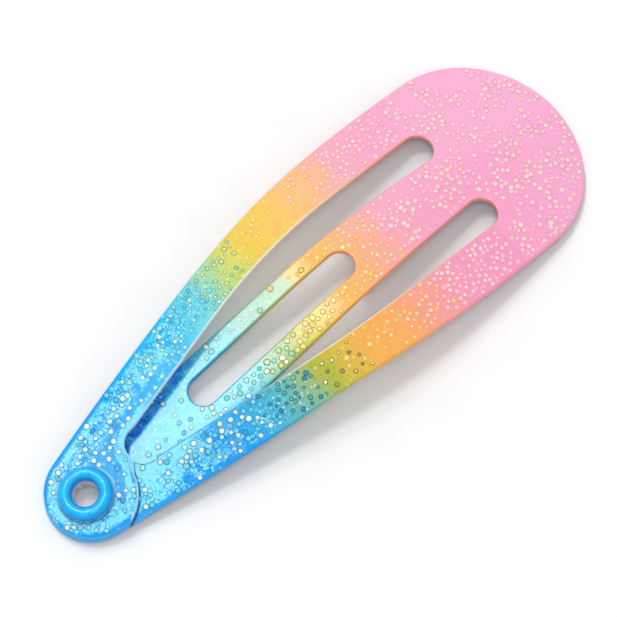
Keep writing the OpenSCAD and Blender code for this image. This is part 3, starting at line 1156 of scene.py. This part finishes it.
WHITE = palette("E8FFF4", "F4FFFC", "D8FFF4", "F0FFEC")
CYAN = palette("8AE8F6", "70DCF4", "A4F0FA", "5CD0F0")
BLUE = palette("2EA8F4", "3CB4F0", "24A0F0")
MINT = palette("C4F8D8", "A8F0D4", "DCFCD0", "90E4D0")
LIME = palette("D8F0A0", "C4ECB0", "E8F4A8", "B4E8B4")
GOLD = palette("FCF8A0", "F4E878", "FFFFC8", "F8DC60", "E8F4A0")
AMBER = palette("FFE484", "FFD870", "FFECA4", "FFD078")
PEACH = palette("FFDCCC", "FFE4D4", "FFD6C8", "FFE8D8")
PINK = palette("FFD4DA", "FFDCD8", "FFDAE8", "FFC4DA", "FFE4E0", "FFD6D4", "F8D0EC", "FDC0DA")
UMBER = palette("B0A468", "98A468", "B8A86C", "8CA87C", "A89C68")
DUSK = palette("3C98A8", "58B0A8", "3490B8", "6CB8A0")
TEAL_RING = palette("1A84BC", "2896AC", "1478C0", "349CB0")
AQUA_RING = palette("34A0BC", "48ACC0", "2E98C0", "5CB8B8")
DUSK_RING = palette("1C5C74", "24607C", "2C6658")
OLIVE_RING = palette("7C8C38", "5A8A60", "98903C", "6C7C30")
BARK_RING = palette("5C4428", "4C4C30", "6C4424", "40502C")
RUST_RING = palette("B8943C", "A48C38", "C09C44")
ORANGE_RING = palette("F8BC5C", "F6B464", "FAC06C")
ROSE_RING = palette("F8A4C4", "F9A8C8", "F6A2B8", "F8AAC4")
BLUES = (WHITE,) * 5 + (CYAN,) * 3 + (BLUE,)
ROSES = (PINK,) * 3 + (PEACH,)
ROUND = 10
PLAIN = 8

# Each row of flakes: span along the clip, most flakes, least spacing, radii, sides, faces, rings, keep rule


def arm_rows(side, seed):
    thick = strewn(seed, 1.6, 0.35, 0.6)
    even = strewn(seed, 1.5, 0.1, 0.55)
    loose = strewn(seed, 1.5, 0.0, 0.1)
    if side == "left":
        rows = [
            ((0, 10), 54, 0.47, (0.2, 0.27), ROUND, BLUES, TEAL_RING, thick),
            ((9.5, 16), 36, 0.42, (0.16, 0.26), ROUND, (WHITE, CYAN, CYAN, MINT), AQUA_RING, thick),
            ((15, 20), 36, 0.38, (0.13, 0.22), ROUND, (CYAN, CYAN, MINT), AQUA_RING, even),
            ((19, 23.5), 24, 0.4, (0.13, 0.21), ROUND, (MINT, LIME, LIME), OLIVE_RING, even),
        ]
    else:
        rows = [
            ((0, 15.5), 84, 0.46, (0.2, 0.27), ROUND, BLUES, TEAL_RING, thick),
            ((14, 17), 14, 0.45, (0.18, 0.26), ROUND, (WHITE, CYAN), TEAL_RING, even),
            ((15.5, 21), 34, 0.4, (0.13, 0.23), ROUND, (DUSK,), DUSK_RING, even),
            ((18.8, 25), 24, 0.62, (0.14, 0.22), ROUND, (UMBER, UMBER, GOLD), BARK_RING, loose),
        ]
    return rows + [
        ((23.5, 30), 24, 0.42, (0.13, 0.2), PLAIN, (AMBER,), ORANGE_RING, even),
        ((29, 33), 24, 0.38, (0.13, 0.2), PLAIN, (AMBER, PEACH, PINK), ORANGE_RING, even),
        ((32, 40), 84, 0.37, (0.15, 0.24), PLAIN, ROSES, ROSE_RING, even),
    ]


def head_rows():
    clumped = strewn(3, 1.8, 0.25, 0.65)
    even = strewn(3, 1.6, 0.0, 0.3)
    thin = strewn(9, 1.4, 0.25, 0.5)
    return [
        ((6, 14), 20, 0.6, (0.18, 0.25), ROUND, (WHITE, CYAN, CYAN), TEAL_RING, clumped),
        ((13.5, 19), 28, 0.42, (0.18, 0.27), ROUND, (WHITE, CYAN, MINT), AQUA_RING, on_right_strip),
        ((18, 22), 28, 0.42, (0.2, 0.29), ROUND, (MINT, GOLD, WHITE), OLIVE_RING, on_right_strip),
        ((21.5, 26.5), 36, 0.4, (0.17, 0.28), ROUND, (GOLD, GOLD, AMBER), RUST_RING, on_right_strip),
        ((25, 30), 36, 0.38, (0.13, 0.22), PLAIN, (AMBER, AMBER, GOLD), ORANGE_RING, even),
        ((29, 33), 40, 0.38, (0.13, 0.2), PLAIN, (AMBER, PEACH, PINK), ORANGE_RING, even),
        ((32, 50), 400, 0.36, (0.16, 0.27), PLAIN, ROSES, ROSE_RING, thin),
    ]


for side, loops, sheet, _, seed in ARMS:
    flakes = flake_piece(f"{side}_arm_glitter", seed, loops, sheet, arm_rows(side, seed), glitter)
    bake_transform(flakes)

flakes = flake_piece("head_glitter", HEAD_SEED, head_loops, TONGUE_SHEET, head_rows(), glitter)
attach(flakes, "blade")

# Floor, light and camera

FLOOR_REACH = 4.0
LIGHT_DISTANCE = 1.5
SKY_STRENGTH = 0.62
CAMERA_AZIMUTH = -42.8
CAMERA_ELEVATION = 67.55
CAMERA_DISTANCE = 0.5
CAMERA_LENS = 394.2
SENSOR_W = 36
CLIP_NEAR = 0.01
CLIP_FAR = 10
AIM_HEIGHT = 2.0
AIM_RIGHT = 0.131
AIM_DOWN = 0.269

floor_mesh = bpy.data.meshes.new("floor")
corners = [(-1, -1), (1, -1), (1, 1), (-1, 1)]
floor_mesh.from_pydata([(FLOOR_REACH * x, FLOOR_REACH * y, 0) for x, y in corners], [], [(0, 1, 2, 3)])
floor_mesh.materials.append(paper_look("pale_paper"))
floor = placed("floor", floor_mesh)


def aimed(thing, aim, away, distance):
    """Put a lamp or a camera at a distance from a point, and turn it towards that point."""
    thing.location = aim + away * distance
    thing.rotation_mode = "QUATERNION"
    thing.rotation_quaternion = away.to_track_quat("Z", "Y")


def softbox(name, direction, width, depth, radiance):
    """A soft rectangular light of the given radiance that faces the clip."""
    light = bpy.data.lights.new(name, "AREA")
    light.shape = "RECTANGLE"
    light.size, light.size_y = width, depth
    light.energy = radiance * math.pi * width * depth
    aimed(placed(name, light), Vector((0, 0, 0)), Vector(direction).normalized(), LIGHT_DISTANCE)


softbox("overhead_softbox", (0.0, 0.309, 0.951), width=0.40, depth=0.30, radiance=14.0)
softbox("side_softbox", (0.15, 0.52, 0.84), width=0.32, depth=0.32, radiance=8.0)
softbox("front_softbox", (-0.21, -0.22, 0.953), width=0.34, depth=0.34, radiance=7.5)

world = bpy.data.worlds.new("studio")
world.use_nodes = True
world.node_tree.nodes["Background"].inputs["Color"].default_value = (1, 1, 1, 1)
world.node_tree.nodes["Background"].inputs["Strength"].default_value = SKY_STRENGTH
bpy.context.scene.world = world
bpy.context.scene.view_settings.view_transform = "Standard"

level = cos(CAMERA_ELEVATION)
away = Vector((sin(CAMERA_AZIMUTH) * level, -cos(CAMERA_AZIMUTH) * level, sin(CAMERA_ELEVATION)))
right = Vector((cos(CAMERA_AZIMUTH), sin(CAMERA_AZIMUTH), 0))
up = away.cross(right)
aim = (Vector((0, 0, AIM_HEIGHT)) + right * AIM_RIGHT - up * AIM_DOWN) * MM
lens = bpy.data.cameras.new("camera")
lens.lens = CAMERA_LENS
lens.sensor_width = SENSOR_W
lens.clip_start = CLIP_NEAR
lens.clip_end = CLIP_FAR
camera = placed("camera", lens)
aimed(camera, aim, away, CAMERA_DISTANCE)
bpy.context.scene.camera = camera
